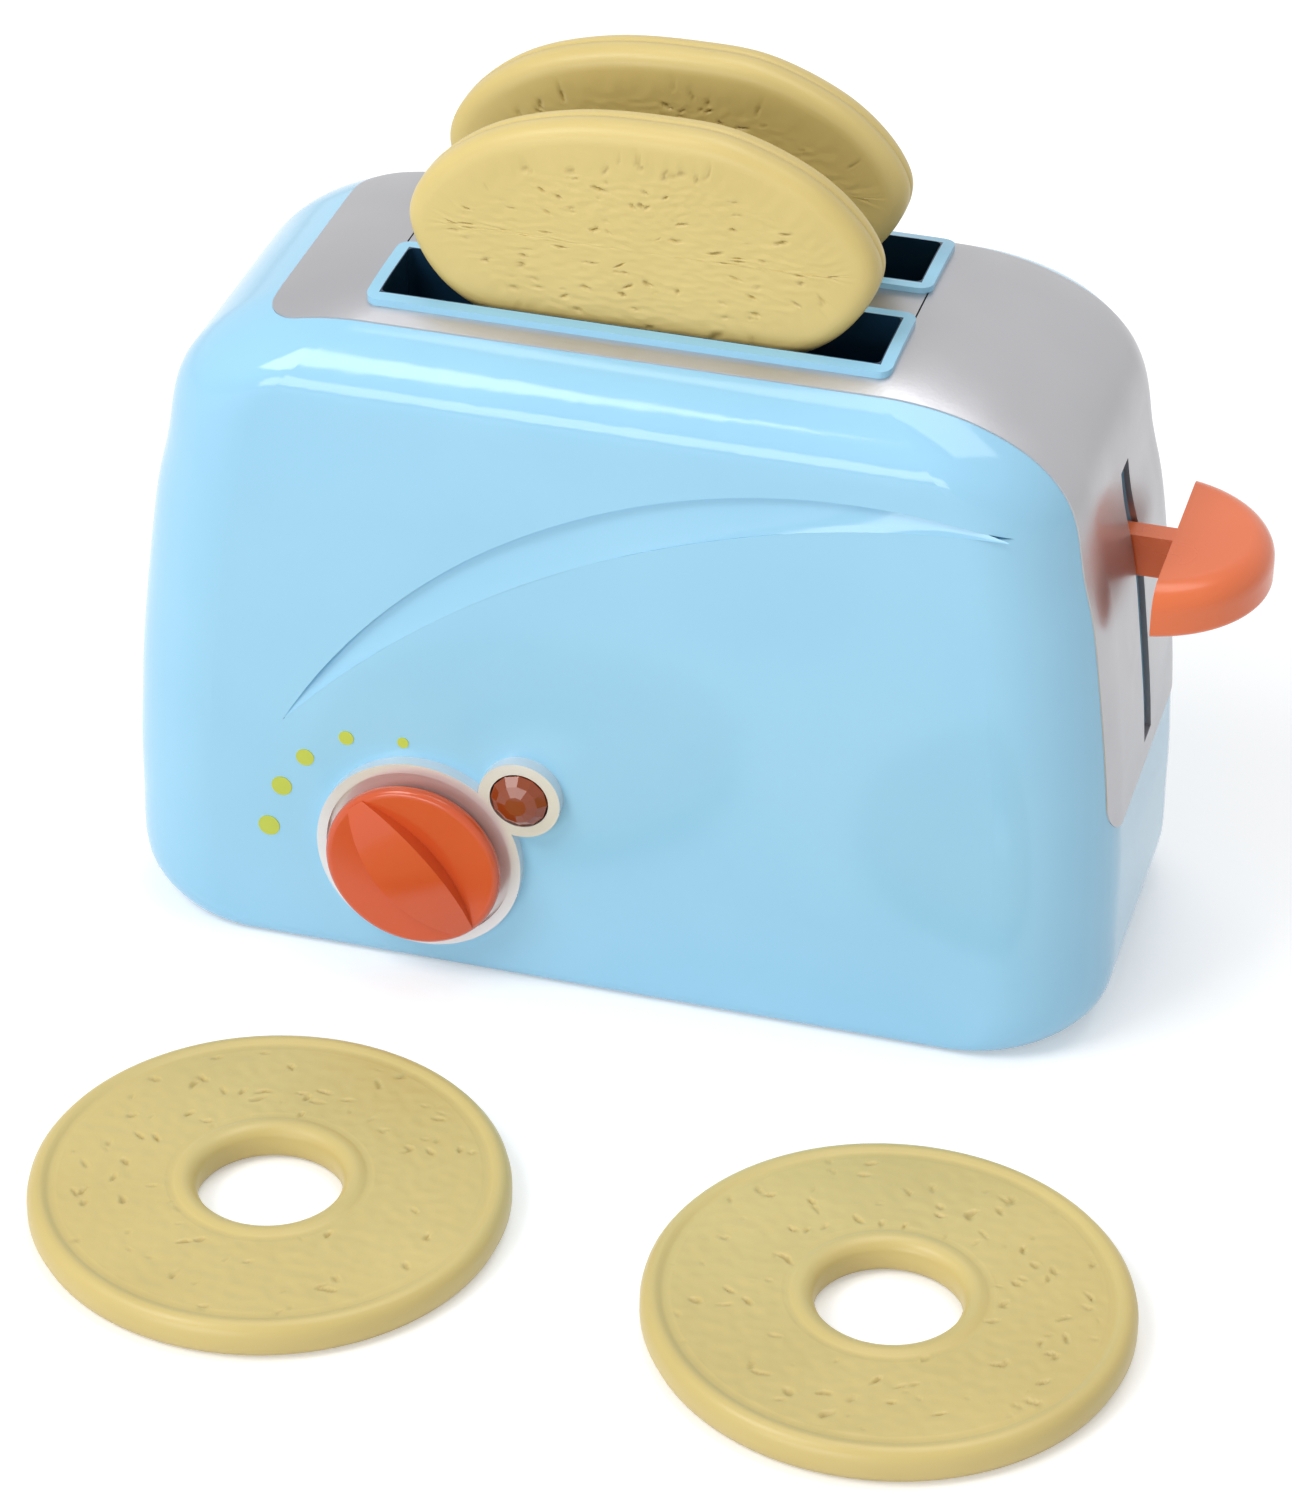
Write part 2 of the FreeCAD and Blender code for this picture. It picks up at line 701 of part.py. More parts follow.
def lift_carriage():
    bar = box(carriage_left, carriage_right, -carriage_bar_half_width, carriage_bar_half_width,
              carriage_bar_bottom, carriage_bar_top)
    column = box(carriage_left, carriage_right, -carriage_column_half_width, carriage_column_half_width,
                 carriage_bottom, carriage_bar_bottom)
    nose = box(carriage_left - nose_reach, carriage_left, -nose_half_width, nose_half_width,
               carriage_bottom, carriage_bottom + nose_height)
    solid = fused([bar, column, nose])
    bore = rod_z_axis(rod_radius + rod_clearance, rod_x, 0, 0, far_reach)
    half_y = lever_stem_thickness / 2
    half_z = lever_stem_height / 2
    pocket = box(carriage_right - lever_pocket_depth, carriage_right, -half_y, half_y,
                 lever_height - half_z, lever_height + half_z)
    solid = solid.cut(bore).cut(pocket)
    for side in (-1, 1):
        solid = solid.cut(rod_x_axis(tray_screw_radius, carriage_left, carriage_left + tray_screw_length,
                                     side * slot_y, tray_top - tray_arm_height / 2))
    return solid


def bread_tray(side):
    bar = box(-tray_half_length, tray_half_length, -tray_width / 2, tray_width / 2,
              tray_top - tray_thickness, tray_top)
    arm = box(-tray_half_length, carriage_left, -tray_arm_thickness / 2, tray_arm_thickness / 2,
              tray_top - tray_arm_height, tray_top)
    solid = at_slot(fused([bar, arm]), side)
    stub = rod_x_axis(tray_screw_radius, carriage_left, carriage_left + tray_screw_length,
                      side * slot_y, tray_top - tray_arm_height / 2)
    return fused([solid, stub])


def lever_knob():
    # a flat half disc across the stem, its straight edge towards the casing
    half_y = lever_stem_thickness / 2
    half_z = lever_stem_height / 2
    stem_left = carriage_right - lever_pocket_depth
    straight_x = end_reach(lever_height, 0.0) + lever_gap_to_casing
    stem = box(stem_left, straight_x + lever_knob_edge, -half_y, half_y,
               lever_height - half_z, lever_height + half_z)
    half_width = lever_knob_width / 2
    bottom = lever_height - lever_knob_height / 2
    low = point(straight_x, -half_width, bottom)
    high = point(straight_x, half_width, bottom)
    tip = point(straight_x + lever_knob_reach, 0, bottom)
    outline = Part.Wire([Part.Arc(low, tip, high).toShape(), Part.LineSegment(high, low).toShape()])
    disc = Part.Face(outline).extrude(point(0, 0, lever_knob_height))
    arc_edges = [e for e in disc.Edges if e.Curve.TypeId == "Part::GeomCircle"]
    upper_edges = [e for e in arc_edges if e.BoundBox.ZMin > lever_height]
    disc = disc.makeFillet(lever_knob_edge, upper_edges)
    under_edges = [e for e in disc.Edges if e.Curve.TypeId == "Part::GeomCircle"
                   and abs(e.BoundBox.ZMax - bottom) < lever_knob_under_edge / 2]
    disc = disc.makeFillet(lever_knob_under_edge, under_edges)
    return fused([disc, stem])


def guide_rod():
    return rod_z_axis(rod_radius, rod_x, 0, rod_post_height - rod_socket_depth,
                      roof_z - casing_wall - trim_thickness)


def coil(radius, wire_radius, turns, length):
    pitch = length / turns
    path = Part.makeHelix(pitch, length, radius)
    start = point(radius, 0, 0)
    section = Part.Wire([Part.Circle(start, point(0, 1, 0), wire_radius).toShape()])
    return Part.Wire(path.Edges).makePipeShell([section], True, True)


def return_spring():
    bottom = rod_post_height + spring_wire_radius
    top = carriage_bottom - spring_wire_radius
    spring = coil(spring_coil_radius, spring_wire_radius, spring_turns, top - bottom)
    spring.translate(point(rod_x, 0, bottom))
    return spring


def latch_hook():
    half = hook_width / 2
    hub = rod_y_axis(hook_hub_radius - hook_hub_gap, hook_pivot_x, hook_pivot_z, -half, half)
    nose_top_down = carriage_bottom + nose_height - lift_travel
    tip_bottom = nose_top_down + hook_nose_gap
    tip_top = tip_bottom + hook_tip_height
    tip_right = carriage_left - nose_reach - hook_tip_gap
    arm_half = hook_arm_width / 2
    arm = box(hook_pivot_x - arm_half, hook_pivot_x + arm_half, -half, half, hook_pivot_z, tip_top)
    tip = box(hook_pivot_x, tip_right, -half, half, tip_bottom, tip_top)
    solid = fused([hub, arm, tip])
    bore = rod_y_axis(latch_pin_radius + latch_pin_clearance, hook_pivot_x, hook_pivot_z, -half, half)
    return solid.cut(bore)


def latch_pin():
    ear_outer = hook_width / 2 + hook_side_gap + latch_ear_thickness
    return rod_y_axis(latch_pin_radius, hook_pivot_x, hook_pivot_z,
                      -ear_outer, ear_outer + latch_spring_room)


def latch_spring():
    spring = coil(latch_spring_radius, latch_spring_wire, latch_spring_turns, latch_spring_length)
    spring.rotate(point(0, 0, 0), point(1, 0, 0), -90)
    start_y = hook_width / 2 + hook_side_gap + latch_spring_wire
    spring.translate(point(hook_pivot_x, start_y, hook_pivot_z))
    return spring


def screw(along, place):
    # pan head with its underside at the origin, shank along the given direction
    head = Part.makeCylinder(screw_head_radius, screw_head_height, place, along * -1)
    slot_half = screw_slot_width / 2
    slot = box(-screw_head_radius, screw_head_radius, -slot_half, slot_half, 0, screw_head_height / 2)
    slot.Placement = FreeCAD.Placement(place - along * screw_head_height,
                                       FreeCAD.Rotation(point(0, 0, 1), along))
    return head.cut(slot)


def screw_group(places, along, length):
    solids = []
    for place in places:
        shank = Part.makeCylinder(screw_shank_radius, length, place, along)
        solids.append(fused([screw(along, place), shank]))
    return Part.makeCompound(solids)


def shell_screws():
    places = [point(x, shell_screw_seat, z) for x, z in shell_boss_places]
    return screw_group(places, point(0, -1, 0), shell_screw_length - screw_end_gap)


def base_screws():
    places = [point(x, y, screw_head_height) for x, y in base_screw_places]
    return screw_group(places, point(0, 0, 1), flange_top + base_boss_height - 2 * screw_head_height)


def bracket_screws():
    places = [point(x, bracket_back_y, z) for x, z in bracket_screw_places]
    return screw_group(places, point(0, -1, 0), bracket_back_y - inner_face_y - screw_end_gap)


def slice_outline(half_width, height):
    # a wide oval with a flatter top, as shares of the half width and of the height
    marks = [
        (0.00, 0.000), (0.45, 0.055), (0.80, 0.210), (0.98, 0.450), (0.94, 0.640), (0.72, 0.840),
        (0.38, 0.975), (0.05, 1.000), (-0.33, 0.975), (-0.68, 0.870), (-0.93, 0.680),
        (-1.00, 0.470), (-0.84, 0.220), (-0.46, 0.050),
    ]
    return [point(share_x * half_width, 0, share_z * height) for share_x, share_z in marks]


def bread_slice(side):
    curve = Part.BSplineCurve()
    curve.interpolate(slice_outline(slice_width / 2, slice_height), PeriodicFlag=True)
    face = Part.Face(Part.Wire([curve.toShape()]))
    front = side * slot_y - slot_width / 2 + slice_front_gap
    lowest = face.BoundBox.ZMin
    solid = face.extrude(point(0, slice_thickness, 0))
    solid = solid.makeFillet(slice_edge_radius, solid.Edges[1:3] if len(solid.Edges) > 2 else solid.Edges)
    shift = slice_front_shift if side < 0 else slice_rear_shift
    solid.translate(point(shift, front, tray_top - lowest))
    return solid


def bagel(x):
    ring = rod_z_axis(bagel_radius, 0, 0, 0, bagel_thickness)
    ring = ring.cut(rod_z_axis(bagel_hole_radius, 0, 0, 0, bagel_thickness))
    round_edges = [e for e in ring.Edges if e.Curve.TypeId == "Part::GeomCircle"]
    ring = ring.makeFillet(bagel_edge_radius, round_edges)
    ring.translate(point(x, bagel_front_y, 0))
    return ring


pieces = {
    "front_shell": shell(True),
    "rear_shell": shell(False),
    "front_trim_plate": trim_plate(True),
    "rear_trim_plate": trim_plate(False),
    "slot_bridge": slot_bridge(),
    "bread_well_front": bread_well(-1),
    "bread_well_rear": bread_well(1),
    "base_plate": base_plate(),
    "dial_bezel": dial_bezel(),
    "indicator_lens": indicator_lens(),
    "timer_knob": timer_knob(),
    "knob_shaft": knob_shaft(),
    "shaft_pinion": shaft_pinion(),
    "shaft_clip": shaft_clip(),
    "dial_bracket": dial_bracket(),
    "bracket_screws": bracket_screws(),
    "trip_rack": trip_rack(),
    "detent_spring": detent_spring(),
    "lift_carriage": lift_carriage(),
    "bread_tray_front": bread_tray(-1),
    "bread_tray_rear": bread_tray(1),
    "lever_knob": lever_knob(),
    "guide_rod": guide_rod(),
    "return_spring": return_spring(),
    "latch_hook": latch_hook(),
    "latch_pin": latch_pin(),
    "latch_spring": latch_spring(),
    "shell_screws": shell_screws(),
    "base_screws": base_screws(),
    "bread_front": bread_slice(-1),
    "bread_rear": bread_slice(1),
    "bagel_left": bagel(bagel_left_x),
    "bagel_right": bagel(bagel_right_x),
}

for name, shape in pieces.items():
    shape.exportStep("parts/" + name + ".step")
    print(name, len(shape.Solids), round(shape.Volume), "valid" if shape.isValid() else "INVALID")
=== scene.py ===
import json
import math

import bmesh
import bpy
from mathutils import Matrix, Vector, noise


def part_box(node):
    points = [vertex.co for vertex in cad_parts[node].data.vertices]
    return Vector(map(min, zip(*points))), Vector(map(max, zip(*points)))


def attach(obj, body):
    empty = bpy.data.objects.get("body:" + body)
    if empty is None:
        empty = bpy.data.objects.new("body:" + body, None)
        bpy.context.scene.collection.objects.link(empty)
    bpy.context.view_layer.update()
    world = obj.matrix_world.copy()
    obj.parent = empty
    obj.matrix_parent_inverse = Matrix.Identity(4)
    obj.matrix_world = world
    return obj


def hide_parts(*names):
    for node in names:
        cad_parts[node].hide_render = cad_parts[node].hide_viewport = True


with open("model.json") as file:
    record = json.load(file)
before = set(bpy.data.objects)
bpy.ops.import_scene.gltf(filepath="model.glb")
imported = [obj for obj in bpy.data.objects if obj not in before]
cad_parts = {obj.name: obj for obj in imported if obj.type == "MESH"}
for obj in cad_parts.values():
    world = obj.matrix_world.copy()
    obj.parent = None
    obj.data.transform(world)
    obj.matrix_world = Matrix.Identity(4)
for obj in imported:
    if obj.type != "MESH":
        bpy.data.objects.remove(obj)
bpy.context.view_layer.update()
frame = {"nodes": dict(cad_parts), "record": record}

# The camera, placed as the photograph was taken: turn, height angle, tilt and distance in metres
camera_azimuth = math.radians(15.42)
camera_elevation = math.radians(33.08)
camera_roll = math.radians(0.8)
camera_distance = 0.95475
camera_target = Vector((-0.0021, 0.0, 0.02697))
camera_lens = 120.0
camera_sensor = 36.0
camera_reach = 20.0

# Casing form, in metres, as in the frame
casing_height = 0.130
face_at_floor = 0.0432
face_at_roof = 0.0404

# Swoosh: three points of its lower line, breadth, depth, and the grid that is laid into it
swoosh_left = Vector((-0.060, 0.0, 0.049))
swoosh_middle = Vector((-0.016, 0.0, 0.0845))
swoosh_right = Vector((0.074, 0.0, 0.109))
swoosh_breadth = 0.0085
swoosh_depth = 0.0015
swoosh_stations = 72
swoosh_rows = 8
swoosh_tip_share = 0.004
swoosh_middle_share = 0.992
swoosh_full_width = 0.003
swoosh_gap = 0.0001
swoosh_hollow = 0.8

# Bread slots in metres: middle from the seam, half length and half width at the walls' outer faces
slot_middle = 0.0155
slot_half_length = 0.04585
slot_half_width = 0.0086

# Dial marks: place along X, height and diameter, and how thick the print is
dial_marks = [
    (-0.0632, 0.0253, 0.0042),
    (-0.0605, 0.0345, 0.0040),
    (-0.0558, 0.0416, 0.0035),
    (-0.0477, 0.0473, 0.0029),
    (-0.0367, 0.0483, 0.0022),
]
dial_mark_thickness = 0.0003

# Outline of a slice, counterclockwise from its right end, as shares of the half width and the height
slice_marks = [
    (0.98, 0.450), (0.94, 0.640), (0.72, 0.840), (0.38, 0.975), (0.05, 1.000),
    (-0.33, 0.975), (-0.68, 0.870), (-0.93, 0.680), (-1.00, 0.470), (-0.84, 0.220),
    (-0.46, 0.050), (0.00, 0.000), (0.45, 0.055), (0.80, 0.210),
]

# Half section of a slice's rim in mm, before it is drawn to the outline, and its outer radius in metres
slice_rim = [
    (39.5, 0.0), (40.7, 0.12), (41.8, 0.6), (42.6, 1.35), (43.05, 2.3), (43.2, 3.4),
]
slice_side_radius = 43.25
slice_parting_radius = 42.95
slice_parting_rise = 0.3
slice_radius = 0.04325
slice_core = 0.0345

# Half section of a bagel, in mm from its middle line and from the floor, in three runs
bagel_outer_lip = [
    (42.5, 2.4), (42.5, 4.4), (42.2, 5.6), (41.5, 6.5), (40.6, 6.95), (39.7, 6.9),
    (39.1, 6.5), (38.4, 6.25),
]
bagel_inner_lip = [
    (17.4, 6.3), (16.8, 6.5), (15.8, 6.95), (14.5, 6.8), (13.4, 6.1), (12.8, 5.0), (12.8, 2.0),
]
bagel_underside = [(13.3, 0.8), (14.6, 0.0), (40.4, 0.0), (41.8, 0.8)]
bagel_crumb_height = 6.5
bagel_crumb_outer = 37.4
bagel_crumb_inner = 18.2

# Turned bread: steps round, rows of the crumb, and the crumb's outer radius on a slice in mm
bread_steps = 420
crumb_rows = 52
crumb_outer = 37.0

# Crumb pattern: directions of the slits, cells per mm along and across a slit, edge of a slit in
# cells, how steep it is, and how far the slits wander
slit_angles = [0.3, 1.35, 2.4]
crumb_along = 0.105
crumb_across = 0.30
crumb_edge = 0.15
crumb_steepness = 1.8
wander_cells = 0.3
wander_mm = 1.2
wander_seed = 7

# Pressing in metres: depth of the crumb, its borders, its fade, and the slow swell between slits
slice_crumb_depth = 0.00055
slice_crumb_margin = 0.0008
bagel_crumb_depth = 0.0005
bagel_pit_inner = 0.0178
bagel_pit_outer = 0.0378
pit_fade = 0.0006
flat_enough = 0.8
swell_cells = 450.0
swell_share = 0.25

# Half section of the jewel, in mm: radius, and distance behind its front, or from its back where
# negative
jewel_profile = [
    (0.0, 0.0), (2.0, 0.1), (3.9, 0.85), (5.4, 2.2),
    (5.4, -3.9), (7.1, -3.9), (7.1, -0.001), (0.0, -0.001),
]
jewel_facets = 12

# Colours, as linear values: each finish has its own colour and a second tone
blue, blue_deep = (0.325, 0.635, 0.85), (0.305, 0.61, 0.83)
# painted shade: a dark navy that stands in for the shade down in the bread slots
painted_shade_navy, painted_shade_navy_deep = (0.010, 0.040, 0.085), (0.008, 0.030, 0.070)
silver, silver_deep = (0.47, 0.47, 0.49), (0.43, 0.43, 0.45)
orange, orange_deep = (0.68, 0.105, 0.024), (0.62, 0.085, 0.02)
orange_light, orange_light_deep = (0.80, 0.175, 0.055), (0.74, 0.15, 0.045)
amber, amber_deep = (0.27, 0.045, 0.006), (0.22, 0.035, 0.004)
bread, bread_pale = (0.63, 0.49, 0.175), (0.70, 0.555, 0.21)
bagel, bagel_pale = (0.58, 0.455, 0.165), (0.64, 0.505, 0.19)
# painted shade that darkens the bread's pits
painted_pit_shade = (0.34, 0.25, 0.07)
chrome, chrome_deep = (0.80, 0.80, 0.80), (0.74, 0.75, 0.77)
steel, steel_deep = (0.50, 0.50, 0.50), (0.42, 0.42, 0.42)
nylon, nylon_deep = (0.76, 0.76, 0.71), (0.70, 0.70, 0.64)
dot_green, dot_green_deep = (0.55, 0.62, 0.08), (0.50, 0.57, 0.06)
floor_pale = (0.86, 0.86, 0.86)

# Finish: default grain in cells per metre, bump height in metres, and how dark the painted shade in the
# pits goes
plain_grain = 900.0
grain_height = 0.0002
painted_pit_shade_strength = 0.55

# Room: extra glow of the floor to the camera, and the strength of the world's light on the toy
floor_size = 8.0
floor_glow = 0.30
world_light = 0.42

# Softboxes: name, place, aim, width, height and power in watts
softboxes = [
    ("key softbox", (-0.9, -0.9, 1.6), (0.0, 0.0, 0.05), 0.9, 0.9, 16.0),
    ("top softbox", (0.2, 0.3, 1.8), (0.0, 0.0, 0.05), 1.4, 0.9, 11.0),
    ("low front softbox", (-0.42, -1.5, 0.42), (0.0, 0.0, 0.08), 1.1, 0.5, 7.0),
]


def deselect():
    for other in bpy.context.selected_objects:
        other.select_set(False)


def new_group(name, inputs, outputs):
    group = bpy.data.node_groups.new(name, "ShaderNodeTree")
    for label, kind, value in inputs:
        socket = group.interface.new_socket(label, in_out="INPUT", socket_type=kind)
        if value is not None:
            socket.default_value = value
    for label, kind in outputs:
        group.interface.new_socket(label, in_out="OUTPUT", socket_type=kind)
    entry = group.nodes.new("NodeGroupInput")
    leave = group.nodes.new("NodeGroupOutput")
    return group, entry, leave


def mould_texture_group():
    # fine moulding grain as a height, and slow tone and faster smudge changes as values
    group, entry, leave = new_group(
        "mould texture",
        [("Vector", "NodeSocketVector", None), ("Grain Scale", "NodeSocketFloat", plain_grain),
         ("Tone Scale", "NodeSocketFloat", 25.0)],
        [("Height", "NodeSocketFloat"), ("Tone", "NodeSocketFloat"),
         ("Smudge", "NodeSocketFloat")])
    grain = group.nodes.new("ShaderNodeTexNoise")
    grain.inputs["Detail"].default_value = 3.0
    tone = group.nodes.new("ShaderNodeTexNoise")
    tone.inputs["Detail"].default_value = 2.0
    smudge = group.nodes.new("ShaderNodeTexNoise")
    smudge.inputs["Scale"].default_value = 60.0
    smudge.inputs["Detail"].default_value = 4.0
    smudge.inputs["Distortion"].default_value = 0.6
    for texture, output in ((grain, "Height"), (tone, "Tone"), (smudge, "Smudge")):
        group.links.new(entry.outputs["Vector"], texture.inputs["Vector"])
        group.links.new(texture.outputs["Fac"], leave.inputs[output])
    group.links.new(entry.outputs["Grain Scale"], grain.inputs["Scale"])
    group.links.new(entry.outputs["Tone Scale"], tone.inputs["Scale"])
    return group


mould_texture = mould_texture_group()


def blend_colours(nodes, links, factor, first, second):
    # a mix of two colours, each a plain colour or a socket
    mix = nodes.new("ShaderNodeMix")
    mix.data_type = "RGBA"
    for name, colour in (("A", first), ("B", second)):
        if isinstance(colour, tuple):
            mix.inputs[name].default_value = (*colour, 1.0)
        else:
            links.new(colour, mix.inputs[name])
    links.new(factor, mix.inputs["Factor"])
    return mix.outputs["Result"]


def span(nodes, links, value, low, high, from_low=0.3, from_high=0.7):
    scale = nodes.new("ShaderNodeMapRange")
    scale.inputs["From Min"].default_value = from_low
    scale.inputs["From Max"].default_value = from_high
    scale.inputs["To Min"].default_value = low
    scale.inputs["To Max"].default_value = high
    links.new(value, scale.inputs["Value"])
    return scale.outputs["Result"]


def compute(nodes, links, operation, first, second):
    node = nodes.new("ShaderNodeMath")
    node.operation = operation
    for place, value in enumerate((first, second)):
        if isinstance(value, float):
            node.inputs[place].default_value = value
        else:
            links.new(value, node.inputs[place])
    return node.outputs["Value"]


def moulded(name, colour, shade, rough_low, rough_high, bump=0.02, grain=plain_grain, metallic=0.0):
    # a moulded or ground surface: two tones, uneven gloss and a fine grain
    material = bpy.data.materials.new(name)
    material.use_nodes = True
    nodes = material.node_tree.nodes
    links = material.node_tree.links
    shader = nodes["Principled BSDF"]
    place = nodes.new("ShaderNodeTexCoord")
    texture = nodes.new("ShaderNodeGroup")
    texture.node_tree = mould_texture
    texture.inputs["Grain Scale"].default_value = grain
    links.new(place.outputs["Object"], texture.inputs["Vector"])
    tone = span(nodes, links, texture.outputs["Tone"], 0.0, 1.0)
    links.new(blend_colours(nodes, links, tone, colour, shade), shader.inputs["Base Color"])
    rough = span(nodes, links, texture.outputs["Smudge"], rough_low, rough_high)
    links.new(rough, shader.inputs["Roughness"])
    shader.inputs["Metallic"].default_value = metallic
    relief = nodes.new("ShaderNodeBump")
    relief.inputs["Strength"].default_value = bump
    relief.inputs["Distance"].default_value = grain_height
    links.new(texture.outputs["Height"], relief.inputs["Height"])
    links.new(relief.outputs["Normal"], shader.inputs["Normal"])
    return material


def slot_mask_group():
    # 1 outside both bread slots, 0 inside them and on their walls
    group, entry, leave = new_group(
        "slot mask", [("Vector", "NodeSocketVector", None)], [("Outside", "NodeSocketFloat")])
    nodes = group.nodes
    links = group.links
    split = nodes.new("ShaderNodeSeparateXYZ")
    links.new(entry.outputs["Vector"], split.inputs["Vector"])
    along = compute(nodes, links, "ABSOLUTE", split.outputs["X"], 0.0)
    across = compute(nodes, links, "ABSOLUTE", split.outputs["Y"], 0.0)
    across = compute(nodes, links, "SUBTRACT", across, slot_middle)
    across = compute(nodes, links, "ABSOLUTE", across, 0.0)
    beyond_end = compute(nodes, links, "GREATER_THAN", along, slot_half_length)
    beyond_side = compute(nodes, links, "GREATER_THAN", across, slot_half_width)
    both = compute(nodes, links, "MAXIMUM", beyond_end, beyond_side)
    links.new(both, leave.inputs["Outside"])
    return group


def well_material():
    # pale rims like the casing, and painted shade, a dark navy, inside the slots and on their walls
    material = moulded("bread well", blue, blue_deep, 0.16, 0.24)
    nodes = material.node_tree.nodes
    links = material.node_tree.links
    base = nodes["Principled BSDF"].inputs["Base Color"]
    mask = nodes.new("ShaderNodeGroup")
    mask.node_tree = slot_mask_group()
    place = nodes.new("ShaderNodeTexCoord")
    links.new(place.outputs["Object"], mask.inputs["Vector"])
    pale = base.links[0].from_socket
    links.new(blend_colours(nodes, links, mask.outputs["Outside"], painted_shade_navy, pale), base)
    return material


def bread_material(name, colour, pale):
    # moulded bread with painted shade in its pits: the mesh's own pit attribute darkens them
    material = moulded(name, colour, pale, 0.34, 0.46, 0.12, 700.0)
    nodes = material.node_tree.nodes
    links = material.node_tree.links
    base = nodes["Principled BSDF"].inputs["Base Color"]
    pit = nodes.new("ShaderNodeAttribute")
    pit.attribute_type = "GEOMETRY"
    pit.attribute_name = "pit"
    # painted shade, darker where the pit is deeper
    depth = compute(nodes, links, "MULTIPLY", pit.outputs["Fac"], painted_pit_shade_strength)
    crust = base.links[0].from_socket
    links.new(blend_colours(nodes, links, depth, crust, painted_pit_shade), base)
    return material


shell_blue = moulded("glossy light blue", blue, blue_deep, 0.08, 0.13)
silver_coat = moulded("satin silver", silver, silver_deep, 0.30, 0.38, 0.10, 1500.0, metallic=0.9)
base_plastic = moulded("base blue", blue, blue_deep, 0.45, 0.55, 0.15)
knob_orange = moulded("dial orange", orange, orange_deep, 0.12, 0.20)
lever_orange = moulded("lever orange", orange_light, orange_light_deep, 0.20, 0.28)
bright_chrome = moulded("bright bezel", chrome, chrome_deep, 0.20, 0.28, metallic=0.45)
bar_steel = moulded("ground steel", steel, steel_deep, 0.25, 0.38, 0.08, metallic=1.0)
white_nylon = moulded("natural nylon", nylon, nylon_deep, 0.40, 0.50)
# painted shade: the slots' dark navy, given to the lift carriage
painted_shade_plastic = moulded("painted slot shade", painted_shade_navy, painted_shade_navy_deep, 0.30, 0.42)
lens_amber = moulded("amber jewel", amber, amber_deep, 0.04, 0.08)
dot_paint = moulded("dial mark paint", dot_green, dot_green_deep, 0.30, 0.40)
slice_crumb = bread_material("play slice bread", bread, bread_pale)
bagel_crumb = bread_material("play bagel bread", bagel, bagel_pale)
well_plastic = well_material()

# The CAD nodes' finishes. The bread solids don't show, because modelled pieces replace them
finish_of_slot = {
    "blue_shell": shell_blue, "silver_trim": silver_coat, "well_blue": well_plastic,
    "base_blue": base_plastic, "bezel_chrome": bright_chrome, "lens_amber": lens_amber,
    "orange_knob": knob_orange, "orange_lever": lever_orange, "steel": bar_steel,
    "screw_steel": bar_steel, "spring_steel": bar_steel, "white_nylon": white_nylon,
    "bread_plastic": white_nylon, "bagel_plastic": white_nylon,
}
for part in frame["record"]["subparts"]:
    node = frame["nodes"][part["node"]]
    node.data.materials.clear()
    node.data.materials.append(finish_of_slot[part["material_slot"]])
# painted shade: the lift carriage down in the slots takes the dark navy too
frame["nodes"]["lift_carriage"].data.materials[0] = painted_shade_plastic


def face_y(z):
    # the casing's front face at one height
    return -(face_at_floor + (face_at_roof - face_at_floor) * z / casing_height)


def node_corners(node_name):
    return (Vector(corner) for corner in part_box(node_name))


def finish_piece(piece, name, material, angle=40.0):
    piece.name = name
    piece.data.name = name
    piece.data.materials.clear()
    piece.data.materials.append(material)
    bpy.ops.object.transform_apply(location=True, rotation=True, scale=True)
    bpy.ops.object.shade_smooth_by_angle(angle=math.radians(angle))


def crumb_depth(x, y, seed):
    # short slits that lie three ways, between 0 and 1
    place = Vector((x * 1000.0, y * 1000.0, seed))
    place += noise.noise_vector(place * wander_cells) * wander_mm
    deepest = 0.0
    for number, angle in enumerate(slit_angles):
        along = place.x * math.cos(angle) + place.y * math.sin(angle)
        across = place.y * math.cos(angle) - place.x * math.sin(angle)
        cell = Vector((along * crumb_along, across * crumb_across, seed + 5.0 * number))
        nearest = noise.voronoi(cell)[0][0]
        deepest = max(deepest, (crumb_edge - nearest) / crumb_edge)
    return min(1.0, max(0.0, deepest * crumb_steepness))


def turned_bread(profile):
    # a grid rolled round the Z axis: its columns are the turns, its rows the closed half section
    deselect()
    bpy.ops.mesh.primitive_grid_add(
        x_subdivisions=bread_steps, y_subdivisions=len(profile) - 1, size=2.0)
    piece = bpy.context.object
    for vertex in piece.data.vertices:
        turn = math.pi * (vertex.co.x + 1)
        row = round((vertex.co.y + 1) / 2 * (len(profile) - 1))
        radius, height = profile[row]
        vertex.co = (radius / 1000 * math.cos(turn), radius / 1000 * math.sin(turn), height / 1000)
    bpy.ops.object.mode_set(mode="EDIT")
    bpy.ops.mesh.select_all(action="SELECT")
    bpy.ops.mesh.remove_doubles(threshold=0.000001)
    bpy.ops.mesh.normals_make_consistent(inside=False)
    bpy.ops.object.mode_set(mode="OBJECT")
    return piece


def press_pits(piece, depth, inner, outer, seed):
    # sink the crumb between two radii into both flat faces, and keep its depth as an attribute
    pit = piece.data.attributes.new("pit", "FLOAT", "POINT")
    # all normals are read before the first vertex moves, because each move makes them stale
    facing = [vertex.normal.z for vertex in piece.data.vertices]
    for number, vertex in enumerate(piece.data.vertices):
        radius = vertex.co.xy.length
        from_outer = min(1.0, max(0.0, (outer - radius) / pit_fade))
        from_inner = min(1.0, max(0.0, (radius - inner) / pit_fade))
        inside = from_outer * from_inner
        if inside <= 0.0 or abs(facing[number]) < flat_enough:
            continue
        side = math.copysign(1.0, facing[number])
        slit = crumb_depth(vertex.co.x, vertex.co.y, seed * side) * inside
        place = Vector((vertex.co.x, vertex.co.y, seed))
        swell = noise.noise(place * swell_cells) * swell_share * inside
        vertex.co.z -= side * depth * (slit - swell)
        pit.data[number].value = slit


